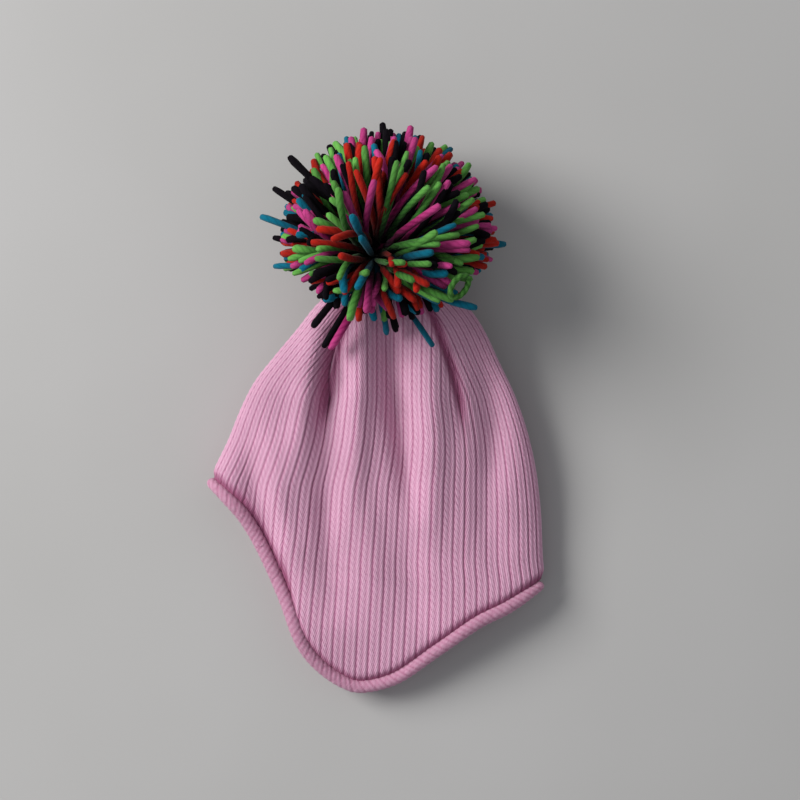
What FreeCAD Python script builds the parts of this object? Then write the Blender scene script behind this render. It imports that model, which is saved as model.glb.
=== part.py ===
"""A child's knitted ear-flap hat with a yarn pom pom, lying flat on its side.

Millimetres. +X runs from the forehead fold to the back fold, +Y from the ear flaps to the pom pom, and +Z up
from the surface that the hat lies on. The model is drawn about the crown tip and moved at the end, so that
the origin is the bottom centre of the whole hat.
"""

import FreeCAD, Part
import math
import os

V = FreeCAD.Vector

# ---- driving dimensions ------------------------------------------------------------------------------------

hat_width = 207.0          # forehead corner to back corner of the rim, across the flattened hat
hat_depth = 216.5          # crown tip to the lowest point of the fold line of the ear flaps
knit_wall = 4.5            # thickness of the knitted fabric
rim_lay = 30.0             # thickness of the flattened hat along its rim and fold lines
belly_lay = 39.0           # thickness of the flattened hat at its fullest
tip_lay = 13.0             # thickness of the closed crown tip
flap_end_lay = 17.0        # outside distance between the two ear flaps at their ends
crown_lift = 39.5          # height of the crown tip's underside, held up by the pom pom

band_width = 6.5           # rolled edging round the rim
flap_gap = 0.6             # free slot along each ear flap's fold line
fold_rise = 0.5            # height of a fold's axis outside the fabric
flap_drop = 70.0           # fold line to the end of an ear flap

seam_width = 3.0           # yarn of a sewn seam
tip_cap = 8.0              # length of the drawn-together crown tip
dart_drop = 80.0           # how far the front and back darts run down from the crown tip

pom_radius = 64.0
pom_centre_height = 50.0   # lower than its radius, because the strands flatten under it
pom_overhang = 15.0        # pom pom's centre beyond the crown reference, away from the hat
pom_sectors = 10           # wedges of strands round the tie's line, two for each colour
pom_tilt = 25.0            # degrees that the pom pom tips up and down
pom_swing = 25.0           # degrees that it swings from side to side
pom_clearance = 1.5        # room between the strands and the crown over the whole travel
past_pom = 1.5             # how far cutting shapes reach from the ball's centre, in its radii

link_yarn = 2.2            # yarn of the loop that hangs the pom pom
link_radius = 4.0          # mid-line radius of that loop
link_stand = 1.9           # crown tip to the near side of that loop's mid-line
stitch_yarn = 1.8          # yarn of the anchor stitch and of the tie
stitch_share = 0.65        # mid-line radius of the anchor stitch and of the tie's bight, for link_radius 1
stitch_radius = stitch_share * link_radius
stitch_room = 0.3          # room for the anchor stitch in the crown tip
stem_radius = 2.5          # the tie's lashing, from its bight to the strands
gather_yarn = 1.8          # yarn that draws the last round of stitches together
gather_radius = 3.6
knot_radius = 2.5
tail_yarn = 1.8
tail_length = 24.0
tail_spread = 0.35         # how far the tails part, for each unit that they hang
tail_sink = 0.1            # how far they sink, for each unit that they hang

strand_yarn = 4.4
uncut_loop_radius = 6.0
uncut_loop_seat = 0.3      # the strand's rise off the ball
uncut_loop_side = (0.63, -0.456, 0.63)   # the way from the ball's centre to the loop

floor_press = 0.4          # how much of the lowest stitches the surface under the hat presses flat

FAR = 400.0                # further than any part of the hat, for cutting shapes
rim_steps = 40             # points along the rim line when it is moved in
dart_steps = 16            # points along a dart's seam

# ---- where things are, about the crown reference point ------------------------------------------------------

# Cross-sections of the flattened hat, from the crown tip to below the ear flaps: drop as a share of
# hat_depth, reach towards the forehead and towards the back as shares of hat_width, thickness, and the
# height of its underside as a share of crown_lift.
SECTIONS = [
    (0.018, 0.045, 0.045, tip_lay, 1.00),
    (0.037, 0.097, 0.106, tip_lay * 1.54, 0.89),
    (0.065, 0.150, 0.184, tip_lay * 2.00, 0.75),
    (0.120, 0.217, 0.242, belly_lay * 0.80, 0.57),
    (0.203, 0.290, 0.295, belly_lay * 0.92, 0.35),
    (0.333, 0.396, 0.360, belly_lay, 0.14),
    (0.490, 0.470, 0.415, belly_lay * 0.97, 0.02),
    (0.624, 0.537, 0.443, (belly_lay + rim_lay) / 2.0, 0.0),
    (0.771, 0.590, 0.457, rim_lay, 0.0),
    (1.000, 0.643, 0.473, rim_lay, 0.0),
    (1.230, 0.690, 0.483, flap_end_lay, 0.0),
]

# The rim from beyond the forehead corner, round an ear flap, to beyond the back corner: shares of
# hat_width, and drops as shares of hat_depth. Below the fold line the drop is the flap's own, as a share of
# flap_drop below the lowest point of the fold line.
RIM_FOREHEAD = [(-0.640, 0.545), (-0.538, 0.622), (-0.493, 0.659), (-0.440, 0.716)]
FOLD_FRONT = (-0.386, 0.807)
RIM_FLAP_FRONT = [(-0.321, -0.16), (-0.271, 0.22), (-0.208, 0.457)]
RIM_FLAP_END = [(-0.128, 0.614), (-0.063, 0.642), (0.036, 0.553)]
RIM_FLAP_BACK = [(0.155, 0.307), (0.273, 0.064)]
FOLD_BACK = (0.362, 0.979)
RIM_BACK = [(0.460, 0.921), (0.570, 0.855)]

# The darts leave the crown tip and run on, as the line of the wales, to the ends of the fold line.
FRONT_DART = [(-0.022, 0.0), (-0.097, 0.120), (-0.128, 0.203), (-0.167, 0.346), (-0.261, 0.550)]
BACK_DART = [(0.022, 0.0), (0.097, 0.092), (0.130, 0.143), (0.155, 0.203), (0.188, 0.291), (0.280, 0.633)]


def on_hat(share_x, share_y, z=0.0):
    """Point of the flattened hat from its shares of width and depth."""
    return V(share_x * hat_width, -share_y * hat_depth, z)


def on_flap(share_x, share_drop):
    """Point of an ear flap's rim from its share of width and of the flap's drop."""
    return V(share_x * hat_width, -hat_depth - share_drop * flap_drop, 0.0)


def section_numbers(inset=0.0):
    """Each section's y, left x, right x, thickness and mid height, moved in by inset."""
    rows = []
    for drop, front, back, lay, lift in SECTIONS:
        mid = lift * crown_lift + lay / 2.0
        rows.append((-drop * hat_depth, -front * hat_width + inset, back * hat_width - inset,
                     lay - 2.0 * inset, mid))
    return rows


TIP_Y = section_numbers()[0][0]
TIP_MID = section_numbers()[0][4]
CAP_Y = TIP_Y - tip_cap
FOLD_A = on_hat(*FOLD_FRONT)
FOLD_B = on_hat(*FOLD_BACK)
LINK_CENTRE = V(0.0, TIP_Y + link_stand + link_radius, TIP_MID)
STITCH_CENTRE = V(0.0, LINK_CENTRE.y - link_radius, TIP_MID)
TIE_CENTRE = V(0.0, LINK_CENTRE.y + link_radius, TIP_MID)
POM_CENTRE = V(0.0, pom_overhang, pom_centre_height)


# ---- cutting shapes ---------------------------------------------------------------------------------------

def smooth_edge(points):
    curve = Part.BSplineCurve()
    curve.interpolate(points)
    return curve.toShape()


def upright(edges):
    """Solid that stands on the closed outline of the edges, from far below to far above."""
    wire = Part.Wire(Part.__sortEdges__(edges))
    face = Part.Face(wire)
    face.translate(V(0.0, 0.0, -FAR / 2.0))
    return face.extrude(V(0.0, 0.0, FAR))


def straight(points):
    return [Part.LineSegment(a, b).toShape() for a, b in zip(points[:-1], points[1:])]


def across(profile):
    """Solid that runs along X, from the (y, z) corners of its profile."""
    corners = [V(-FAR / 2.0, y, z) for y, z in profile]
    face = Part.Face(Part.makePolygon(corners + corners[:1]))
    return face.extrude(V(FAR, 0.0, 0.0))


def rim_points():
    points = [on_hat(*share) for share in RIM_FOREHEAD]
    points.append(FOLD_A)
    points += [on_flap(*share) for share in RIM_FLAP_FRONT + RIM_FLAP_END + RIM_FLAP_BACK]
    points.append(FOLD_B)
    points += [on_hat(*share) for share in RIM_BACK]
    return points


def rim_curve(inset):
    """The rim line, moved towards the crown by inset along its own normals."""
    curve = Part.BSplineCurve()
    curve.interpolate(rim_points())
    if inset == 0.0:
        return curve.toShape()
    first = curve.FirstParameter
    last = curve.LastParameter
    moved = []
    for k in range(rim_steps + 1):
        at = first + (last - first) * k / rim_steps
        along = curve.tangent(at)[0]
        moved.append(curve.value(at) + V(-along.y, along.x, 0.0) * inset)
    return smooth_edge(moved)


def crownward(inset):
    """Everything on the crown's side of the rim line, moved in by inset."""
    edge = rim_curve(inset)
    a = edge.Vertexes[0].Point
    b = edge.Vertexes[-1].Point
    far = [b, V(FAR, b.y, 0.0), V(FAR, FAR, 0.0), V(-FAR, FAR, 0.0), V(-FAR, a.y, 0.0), a]
    return upright([edge] + straight(far))


def dart_points(shares, fold_end):
    points = [on_hat(x, y) for x, y in shares]
    points.append(fold_end)
    return points


def beside_dart(shares, fold_end, side):
    """Everything on one side of a dart's line: side is -1 towards the forehead and 1 towards the back."""
    points = dart_points(shares, fold_end)
    edge = smooth_edge(points)
    onward = (points[-1] - points[-2]).normalize() * FAR
    end = points[-1] + onward
    far = [points[-1], end, V(side * FAR * 2.0, end.y, 0.0), V(side * FAR * 2.0, FAR, 0.0),
           V(points[0].x, FAR, 0.0), points[0]]
    return upright([edge] + straight(far))


def dart_strip(shares, fold_end):
    """Upright strip along a dart, as wide as its seam and as long as the dart."""
    curve = Part.BSplineCurve()
    curve.interpolate(dart_points(shares, fold_end))
    sides = {-1: [], 1: []}
    first = curve.FirstParameter
    last = curve.LastParameter
    for k in range(dart_steps + 1):
        at = first + (last - first) * k / dart_steps
        point = curve.value(at)
        along = curve.tangent(at)[0]
        for side in sides:
            sides[side].append(point + V(along.y, -along.x, 0.0) * (side * seam_width / 2.0))
    left = sides[-1]
    right = sides[1]
    outline = [smooth_edge(left), smooth_edge(right)]
    outline += straight([left[0], right[0]])
    outline += straight([left[-1], right[-1]])
    strip = upright(outline)
    return strip.common(level_slab(CAP_Y, -dart_drop))


def level_slab(y_high, y_low):
    """Everything between two drops below the crown."""
    return Part.makeBox(2.0 * FAR, y_high - y_low, 2.0 * FAR, V(-FAR, y_low, -FAR))


def flap_side(side):
    """Everything on one side of the fold line: side is 1 towards the crown, -1 towards the flap's end."""
    along = (FOLD_B - FOLD_A).normalize()
    inward = V(-along.y, along.x, 0.0)
    a = FOLD_A - along * FAR + inward * (side * flap_gap / 2.0)
    b = FOLD_B + along * FAR + inward * (side * flap_gap / 2.0)
    corners = [a, b, b + inward * (side * FAR), a + inward * (side * FAR), a]
    return upright(straight(corners))


def mid_profile(shift):
    """The (y, z) line halfway between the two layers, moved up by shift."""
    rows = section_numbers()
    line = [(FAR, rows[0][4] + shift)]
    line += [(row[0], row[4] + shift) for row in rows]
    line.append((-FAR, rows[-1][4] + shift))
    return line


def above_mid(shift):
    return across(mid_profile(shift) + [(-FAR, FAR), (FAR, FAR)])


def below_mid(shift):
    return across(mid_profile(shift) + [(-FAR, -FAR), (FAR, -FAR)])


# ---- the knitted shell ---------------------------------------------------------------------------------------

def section_wire(y, left, right, lay, mid):
    """Flat-sided loop with round ends: one cross-section of the flattened hat."""
    r = lay / 2.0
    top_a = V(left + r, y, mid + r)
    top_b = V(right - r, y, mid + r)
    low_b = V(right - r, y, mid - r)
    low_a = V(left + r, y, mid - r)
    return Part.Wire([
        Part.LineSegment(top_a, top_b).toShape(),
        Part.Arc(top_b, V(right, y, mid), low_b).toShape(),
        Part.LineSegment(low_b, low_a).toShape(),
        Part.Arc(low_a, V(left, y, mid), top_a).toShape(),
    ])


def pressed(y, left, right, lay, mid):
    """A cross-section that lies on the floor, made a little thicker downwards so that it can be cut flat."""
    if mid - lay / 2.0 > 0.0:
        return (y, left, right, lay, mid)
    return (y, left, right, lay + floor_press, mid - floor_press / 2.0)


def below_floor():
    return Part.makeBox(2.0 * FAR, 2.0 * FAR, FAR, V(-FAR, -FAR, -FAR))


def knitted_shell():
    outer = Part.makeLoft([section_wire(*pressed(*row)) for row in section_numbers()], True, True)
    inner = Part.makeLoft([section_wire(*row) for row in section_numbers(knit_wall)[1:]], True, True)
    return outer.cut(inner).cut(below_floor())


# ---- the pom pom ----------------------------------------------------------------------------------------------

def ring(centre, axis, middle_radius, yarn):
    return Part.makeTorus(middle_radius, yarn / 2.0, centre, axis)


def turned(y, z, angle):
    """A (y, z) point turned about the pom pom's tilt axis by an angle in degrees."""
    a = math.radians(angle)
    dy = y - TIE_CENTRE.y
    dz = z - TIE_CENTRE.z
    return (TIE_CENTRE.y + dy * math.cos(a) - dz * math.sin(a),
            TIE_CENTRE.z + dy * math.sin(a) + dz * math.cos(a))


def hull(points):
    """Outline of the smallest convex shape that holds the points."""
    points = sorted(set(points))

    def half(ordered):
        chain = []
        for p in ordered:
            while len(chain) > 1 and ((chain[-1][0] - chain[-2][0]) * (p[1] - chain[-2][1])
                                      - (chain[-1][1] - chain[-2][1]) * (p[0] - chain[-2][0])) <= 0.0:
                chain.pop()
            chain.append(p)
        return chain[:-1]

    return half(points) + half(points[::-1])


def crown_room():
    """Space that the crown sweeps inside the pom pom as the pom pom tilts and swings."""
    swing = math.radians(pom_swing)
    swept = []
    for y, left, right, lay, mid in section_numbers():
        shoulder = max(-left, right) * math.sin(swing)
        middle = LINK_CENTRE.y + (y - LINK_CENTRE.y) * math.cos(swing)
        for step in (-1.0, -0.5, 0.0, 0.5, 1.0):
            for z in (mid - lay / 2.0, mid + lay / 2.0):
                for at in (y, middle - shoulder, middle + shoulder):
                    ty, tz = turned(at, z, step * pom_tilt)
                    for dy, dz in ((1, 0), (0, 1), (0, -1)):
                        swept.append((ty + dy * pom_clearance, tz + dz * pom_clearance))
        if middle + shoulder < POM_CENTRE.y - past_pom * pom_radius:
            break
    bight = stitch_radius + stitch_yarn / 2.0 + pom_clearance
    for side in (-1, 1):
        swept.append((TIE_CENTRE.y + bight, TIE_CENTRE.z + side * bight))
    return across(hull(swept))


def slot_end():
    """How far from the hat the room for the crown reaches."""
    return crown_room().BoundBox.YMax


def tie_stem():
    """The lashing of the tie, from its bight into the strands."""
    start = TIE_CENTRE.y + stitch_radius
    return Part.makeCylinder(stem_radius, slot_end() - start, V(0.0, start, TIE_CENTRE.z), V(0, 1, 0))


def pom_ball():
    ball = Part.makeSphere(pom_radius, POM_CENTRE)
    return ball.cut(below_floor()).cut(crown_room()).cut(tie_stem())


def sector(number):
    """Wedge of one share of the turn round the line of the tie."""
    turn = 2.0 * math.pi / pom_sectors
    reach = past_pom * pom_radius / math.cos(turn / 2.0)
    corners = [V(POM_CENTRE.x, -FAR / 2.0, POM_CENTRE.z)]
    for k in (number, number + 1):
        corners.append(V(POM_CENTRE.x + reach * math.cos(k * turn), -FAR / 2.0,
                         POM_CENTRE.z + reach * math.sin(k * turn)))
    return Part.Face(Part.makePolygon(corners + corners[:1])).extrude(V(0.0, FAR, 0.0))


def main_solid(shape):
    """The body of a wedge, without the thin offcuts that the room for the crown leaves beside it."""
    return max(shape.Solids, key=lambda solid: solid.Volume)


def pom_tie():
    """Tie round the middle of the strands: its bight in the loop, and its lashing to the strands."""
    bight = ring(TIE_CENTRE, V(1, 0, 0), stitch_radius, stitch_yarn)
    reach = 2.0 * stem_radius
    bore = Part.makeCylinder(stitch_radius, 2.0 * reach, TIE_CENTRE - V(reach, 0.0, 0.0), V(1, 0, 0))
    return bight.fuse(tie_stem().cut(bore))


def uncut_loop():
    """One strand whose loop was left uncut, lying on the near side of the pom pom."""
    outward = V(*uncut_loop_side).normalize()
    centre = POM_CENTRE + outward * (pom_radius + strand_yarn / 2.0 + uncut_loop_seat)
    return ring(centre, outward, uncut_loop_radius, strand_yarn)


# ---- crown tip -------------------------------------------------------------------------------------------------

def inner_cap_y():
    return section_numbers(knit_wall)[1][0]


def gather():
    centre = V(0.0, inner_cap_y() - gather_yarn / 2.0, section_numbers()[1][4])
    return ring(centre, V(0, 1, 0), gather_radius, gather_yarn)


def knot():
    centre = V(0.0, inner_cap_y() - knot_radius, section_numbers()[1][4])
    return Part.makeSphere(knot_radius, centre)


def knot_tails():
    tails = []
    start = V(0.0, inner_cap_y() - 2.0 * knot_radius, section_numbers()[1][4])
    for side in (-1, 1):
        heading = V(tail_spread * side, -1.0, -tail_sink).normalize()
        at = start + V(side * tail_yarn, 0.0, 0.0)
        tails.append(Part.makeCylinder(tail_yarn / 2.0, tail_length, at, heading))
    return Part.makeCompound(tails)


def anchor_stitch():
    return ring(STITCH_CENTRE, V(1, 0, 0), stitch_radius, stitch_yarn)


# ---- assembly ----------------------------------------------------------------------------------------------------

def build():
    shell = knitted_shell()
    inside_rim = crownward(0.0)
    inside_band = crownward(band_width)
    fabric = shell.common(inside_band)
    edging = shell.common(inside_rim).cut(inside_band)
    cap_level = level_slab(FAR / 2.0, CAP_Y)
    gores = fabric.cut(cap_level).common(flap_side(1))

    front_strip = dart_strip(FRONT_DART, FOLD_A)
    back_strip = dart_strip(BACK_DART, FOLD_B)
    forehead_side = beside_dart(FRONT_DART, FOLD_A, -1)
    back_side = beside_dart(BACK_DART, FOLD_B, 1)
    unseamed = gores.cut(front_strip).cut(back_strip)
    between = unseamed.cut(forehead_side).cut(back_side)
    back_gore = unseamed.common(back_side)
    upper = above_mid(0.0)
    lower = below_mid(0.0)
    seam_band = above_mid(-seam_width / 2.0).common(below_mid(seam_width / 2.0))

    nodes = {}
    nodes["front_gore"] = unseamed.common(forehead_side)
    nodes["near_side_gore"] = between.common(upper)
    nodes["far_side_gore"] = between.common(lower)
    nodes["near_back_gore"] = back_gore.common(above_mid(seam_width / 2.0))
    nodes["far_back_gore"] = back_gore.common(below_mid(-seam_width / 2.0))
    nodes["back_seam"] = back_gore.common(seam_band)
    for name, strip in (("front", front_strip), ("back", back_strip)):
        seam = gores.common(strip)
        nodes["near_" + name + "_dart_seam"] = seam.common(upper)
        nodes["far_" + name + "_dart_seam"] = seam.common(lower)

    room = ring(STITCH_CENTRE, V(1, 0, 0), stitch_radius, stitch_yarn + 2.0 * stitch_room)
    link_room = ring(LINK_CENTRE, V(0, 0, 1), link_radius, link_yarn + 2.0 * stitch_room)
    nodes["crown_tip"] = fabric.common(cap_level).cut(room).cut(link_room)
    nodes["crown_gather_yarn"] = gather()
    nodes["inside_knot"] = knot()
    nodes["knot_tails"] = knot_tails()
    nodes["anchor_stitch"] = anchor_stitch()

    rim_edging = edging.common(flap_side(1))
    forehead_half = Part.makeBox(FAR, 2.0 * FAR, 2.0 * FAR, V(-FAR, -FAR, -FAR))
    nodes["forehead_rim_band"] = rim_edging.common(forehead_half)
    nodes["back_rim_band"] = rim_edging.cut(forehead_half)

    flap_fabric = fabric.common(flap_side(-1))
    flap_edging = edging.common(flap_side(-1))
    nodes["near_ear_flap"] = flap_fabric.common(upper)
    nodes["far_ear_flap"] = flap_fabric.common(lower)
    nodes["near_flap_rim_band"] = flap_edging.common(upper)
    nodes["far_flap_rim_band"] = flap_edging.common(lower)

    nodes["hanging_loop"] = ring(LINK_CENTRE, V(0, 0, 1), link_radius, link_yarn)

    ball = pom_ball()
    colours = ["pink", "black", "red", "green", "teal"]
    for k, colour in enumerate(colours):
        wedges = [main_solid(ball.common(sector(number))) for number in range(k, pom_sectors, len(colours))]
        nodes["pom_" + colour + "_strands"] = Part.makeCompound(wedges)
    nodes["pom_centre_tie"] = pom_tie()
    nodes["uncut_green_loop"] = uncut_loop()
    return nodes


def whole_box(nodes):
    box = FreeCAD.BoundBox()
    for shape in nodes.values():
        box.add(shape.optimalBoundingBox(False))
    return box


def home_shift(nodes):
    """Move from the crown reference point to the bottom centre of the whole hat."""
    box = whole_box(nodes)
    return V(-box.Center.x, -box.Center.y, -box.ZMin)


def fold_axes():
    """Each ear flap's fold axis: a point on it and its direction."""
    along = (FOLD_B - FOLD_A).normalize()
    middle = (FOLD_A + FOLD_B) * 0.5
    near = V(middle.x, middle.y, rim_lay + fold_rise)
    far = V(middle.x, middle.y, -fold_rise)
    return {"near": (near, along * -1.0), "far": (far, along)}


nodes = build()
shift = home_shift(nodes)
os.makedirs("parts", exist_ok=True)
for name, shape in nodes.items():
    shape.translate(shift)
    shape.exportStep("parts/" + name + ".step")
    volumes = [round(solid.Volume, 1) for solid in shape.Solids]
    print(name, "solids", volumes, "valid", shape.isValid())
print("shift", shift)
print("loop centre", LINK_CENTRE + shift, "tie centre", TIE_CENTRE + shift, "pom centre", POM_CENTRE + shift)
for name, (point, direction) in fold_axes().items():
    print(name, "fold", point + shift, "along", direction)
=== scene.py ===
# %% [markdown]
# # A knitted hat with ear flaps and a yarn pom pom
#
# The hat lies flat on its side, as it would on a shelf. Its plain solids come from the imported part, and each
# one is given here the surface of the real thing: stitches that stand out of the fabric, an edge that rolls,
# and over a thousand cut strands of yarn. All new shapes are worked out as whole numpy arrays.

import math

import bpy
import numpy as np
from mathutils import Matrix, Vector


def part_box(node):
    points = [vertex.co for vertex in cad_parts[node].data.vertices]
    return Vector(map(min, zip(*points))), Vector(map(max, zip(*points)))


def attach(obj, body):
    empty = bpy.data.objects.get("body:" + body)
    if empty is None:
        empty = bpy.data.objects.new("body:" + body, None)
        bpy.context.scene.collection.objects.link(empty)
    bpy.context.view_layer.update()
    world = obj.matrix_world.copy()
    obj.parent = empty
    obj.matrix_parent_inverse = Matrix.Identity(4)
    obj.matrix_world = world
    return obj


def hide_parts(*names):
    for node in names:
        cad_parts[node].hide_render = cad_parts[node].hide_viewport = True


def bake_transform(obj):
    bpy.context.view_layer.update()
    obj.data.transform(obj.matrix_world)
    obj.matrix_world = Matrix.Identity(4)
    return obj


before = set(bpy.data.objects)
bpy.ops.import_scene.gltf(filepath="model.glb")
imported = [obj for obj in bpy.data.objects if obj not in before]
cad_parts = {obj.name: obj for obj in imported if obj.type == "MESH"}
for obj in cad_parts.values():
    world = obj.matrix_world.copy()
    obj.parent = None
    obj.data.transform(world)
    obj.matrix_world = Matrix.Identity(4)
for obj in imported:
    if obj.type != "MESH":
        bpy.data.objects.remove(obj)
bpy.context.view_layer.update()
MM = 0.001
SEED = 21
rng = np.random.default_rng(SEED)

# %% [markdown]
# ## Where the hat is
#
# Every length below is in millimetres from one reference point, the middle of the crown tip. `drop` runs from
# there down to the ear flaps, and x from the forehead fold to the back fold. The reference point comes from
# the loop of yarn that the pom pom hangs by, so the new surfaces follow the part wherever it is.

# %% Reference point and outline
loop_low, loop_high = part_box("hanging_loop")
LOOP = np.array((loop_low + loop_high) / 2.0)
TIP_DROP = 3.9
tip_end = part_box("crown_tip")[1]
CROWN = np.array([LOOP[0], tip_end.y + TIP_DROP * MM, 0.0])
WALL = 4.5
# depth of the middle surface, which every grid follows, below the tops of the stitches
SKIN = 1.2


def through(at, knots, values):
    """Smooth curve through the knots: a cubic between each two, with slopes that never overshoot."""
    k = np.asarray(knots, float)
    v = np.asarray(values, float)
    gap = np.diff(k)
    rise = np.diff(v) / gap
    w1 = 2.0 * gap[1:] + gap[:-1]
    w2 = gap[1:] + 2.0 * gap[:-1]
    same = rise[:-1] * rise[1:] > 0.0
    a = np.where(same, rise[:-1], 1.0)
    b = np.where(same, rise[1:], 1.0)
    slope = np.concatenate([[rise[0]], np.where(same, (w1 + w2) / (w1 / a + w2 / b), 0.0), [rise[-1]]])
    at = np.clip(at, k[0], k[-1])
    i = np.clip(np.searchsorted(k, at) - 1, 0, len(gap) - 1)
    u = (at - k[i]) / gap[i]
    ends = v[i] * (1 + 2 * u) * (1 - u) ** 2 + v[i + 1] * u * u * (3 - 2 * u)
    return ends + gap[i] * (slope[i] * u * (1 - u) ** 2 - slope[i + 1] * u * u * (1 - u))


def forehead_fold(drop):
    """x of the fold over the forehead; below the rim's corner it runs on as the line of the stitches."""
    return through(drop, [3.9, 10.5, 24.6, 38, 54.7, 72, 90.4, 105.8, 121, 134.7, 167, 216.5, 270],
                   [-9, -26.4, -43, -54, -68.3, -81.8, -91, -97.2, -104.6, -111.3, -118, -127, -134])


def back_fold(drop):
    """x of the fold at the back of the head."""
    return through(drop, [3.9, 10, 22.8, 35, 57.8, 81.2, 105.8, 130.4, 155, 179.6, 195, 270],
                   [9, 30, 45.5, 55.4, 67, 78, 86.1, 91, 93.5, 94.6, 96.6, 99])


def lay(drop):
    """Thickness of the flattened hat, outside to outside."""
    return through(drop, [3.9, 8, 14, 26, 44, 72, 106, 135, 167, 216.5, 266],
                   [13, 20, 26, 31.2, 35.9, 39, 37.8, 34.5, 30, 29, 17])


def underside(drop):
    """Height of the far side above the floor: the pom pom holds the crown tip up."""
    return through(drop, [3.9, 8, 14, 26, 44, 72, 106, 140], [39.5, 35.2, 29.6, 22.5, 13.8, 5.5, 0.8, 0.0])


def mid_height(drop):
    """Height halfway through the flattened hat."""
    return underside(drop) + lay(drop) / 2.0


# %% [markdown]
# ## The rim
#
# The rim is one smooth line round the ear flap, from the forehead corner to the back corner. It passes
# through a few points, and a second line runs inside it where the rolled edge ends and the fabric begins.

# %% Rim line and fold line of the ear flap
BAND = 6.5
RIM = np.array([(-132.5, 118.0), (-111.4, 134.7), (-102.0, 142.7), (-91.1, 155.0), (-79.9, 174.7),
                (-66.4, 205.0), (-56.1, 231.9), (-43.0, 248.5), (-26.5, 259.5), (-13.0, 261.4),
                (7.5, 255.2), (32.1, 238.0), (56.5, 221.0), (74.9, 211.9), (95.2, 199.4), (118.0, 185.1)])
FOLD_A = RIM[4]
FOLD_B = RIM[13]
FOLD_OVERLAP = 3.0
# how far a flap's fabric runs on under the body's, and a gore's under its neighbour's
TUCK = 0.7
DART_TUCK = 2.0
LINE_POINTS = 600
SPAN_STEPS = 24


def resample(points, count):
    """Points spread evenly along a line."""
    step = np.linalg.norm(np.diff(points, axis=0), axis=1)
    along = np.concatenate([[0.0], np.cumsum(step)])
    at = np.linspace(0.0, along[-1], count)
    return np.stack([np.interp(at, along, points[:, k]) for k in range(points.shape[1])], axis=1)


def smooth_line(points, count):
    """Catmull-Rom curve through the points, then spread evenly."""
    p = np.vstack([2 * points[0] - points[1], points, 2 * points[-1] - points[-2]])
    t = np.linspace(0.0, 1.0, SPAN_STEPS, endpoint=False)[:, None]
    spans = []
    for a, b, c, d in zip(p[:-3], p[1:-2], p[2:-1], p[3:]):
        spans.append(0.5 * (2 * b + (c - a) * t + (2 * a - 5 * b + 4 * c - d) * t ** 2
                            + (3 * b - a - 3 * c + d) * t ** 3))
    return resample(np.vstack(spans + [points[-1:]]), count)


def inset(line, distance):
    """The line moved towards the crown by a distance, square to itself."""
    along = np.gradient(line, axis=0)
    along /= np.linalg.norm(along, axis=1, keepdims=True)
    return line + np.stack([along[:, 1], -along[:, 0]], axis=1) * distance


rim_line = smooth_line(RIM, LINE_POINTS)
fabric_end = inset(rim_line, BAND)
rim_slope = np.gradient(rim_line[:, 1], rim_line[:, 0])


def above_rim(x, drop):
    """Distance from the rim line: the height above it, times the cosine of its slope."""
    rise = np.interp(x, rim_line[:, 0], rim_line[:, 1]) - drop
    return rise / np.sqrt(1.0 + np.interp(x, rim_line[:, 0], rim_slope) ** 2)


def fold_line(x):
    """Drop of the straight line about which an ear flap folds."""
    return FOLD_A[1] + (x - FOLD_A[0]) * (FOLD_B[1] - FOLD_A[1]) / (FOLD_B[0] - FOLD_A[0])


def body_end(x):
    """Drop where the body's fabric ends: at the rolled edge, or at the ear flap."""
    return np.minimum(np.interp(x, fabric_end[:, 0], fabric_end[:, 1]), fold_line(x) - FOLD_OVERLAP)


rim_steps = np.linalg.norm(np.diff(rim_line, axis=0), axis=1)
print("rim", round(float(rim_steps.sum())), "mm")

# %% [markdown]
# ## The soft folds
#
# A flattened knitted tube isn't smooth: where the crown is gathered, shallow valleys and ridges run down from
# it and fade out. Each is a line with a height and a width that change along it, and its cross-section is the
# bell curve, height times e to the minus (distance over width) squared.

# %% Folds of the near side
FOLD_LINES = [
    # drops, x along the line, heights, width
    ([30, 50, 70, 90, 125, 180], [-25, -29, -31, -37, -36, -38], [-2.5, -5.0, -6.5, -6.5, -3.6, 0.0], 8.5),
    ([25, 50, 80, 110, 150], [-44, -47, -50, -55, -60], [2.0, 5.5, 6.0, 4.0, 0.0], 8.5),
    ([30, 50, 80, 120, 170], [-15, -17, -18, -20, -27], [3.0, 6.0, 6.5, 4.5, 0.0], 7.5),
    ([30, 55, 90, 125, 160], [0, 2, 6, 12, 15], [-5.0, -11.0, -12.0, -7.5, 0.0], 8.5),
    ([35, 60, 95, 140, 200], [23, 26, 27, 26, 24], [3.0, 6.5, 7.0, 4.5, 0.0], 9.5),
    ([40, 70, 100, 135, 180], [52, 62, 65, 62, 56], [-4.0, -10.0, -10.5, -6.0, 0.0], 10.5),
    ([85, 120, 155, 190, 215], [-88, -84, -76, -66, -58], [0.0, -6.0, -6.0, -5.0, 0.0], 10.0),
    ([100, 135, 170, 200], [-68, -68, -62, -54], [0.0, 3.5, 3.0, 0.0], 8.0),
    ([120, 150, 185, 220], [-40, -38, -36, -34], [0.0, -5.0, -4.0, 0.0], 9.0),
    ([120, 155, 190, 230], [-18, -14, -10, -6], [0.0, 3.0, 2.5, 0.0], 10.0),
    ([150, 180, 210, 235], [12, 14, 16, 18], [0.0, -3.0, -2.0, 0.0], 10.0),
    ([140, 170, 200], [62, 66, 66], [0.0, -3.5, 0.0], 11.0),
]


def soft_folds(x, drop):
    """Sum of the bell-shaped valleys and ridges."""
    total = np.zeros_like(x)
    for drops, line, heights, width in FOLD_LINES:
        away = (x - through(drop, drops, line)) / width
        total += np.interp(drop, drops, heights, left=heights[0], right=0.0) * np.exp(-away * away)
    return total


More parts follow.
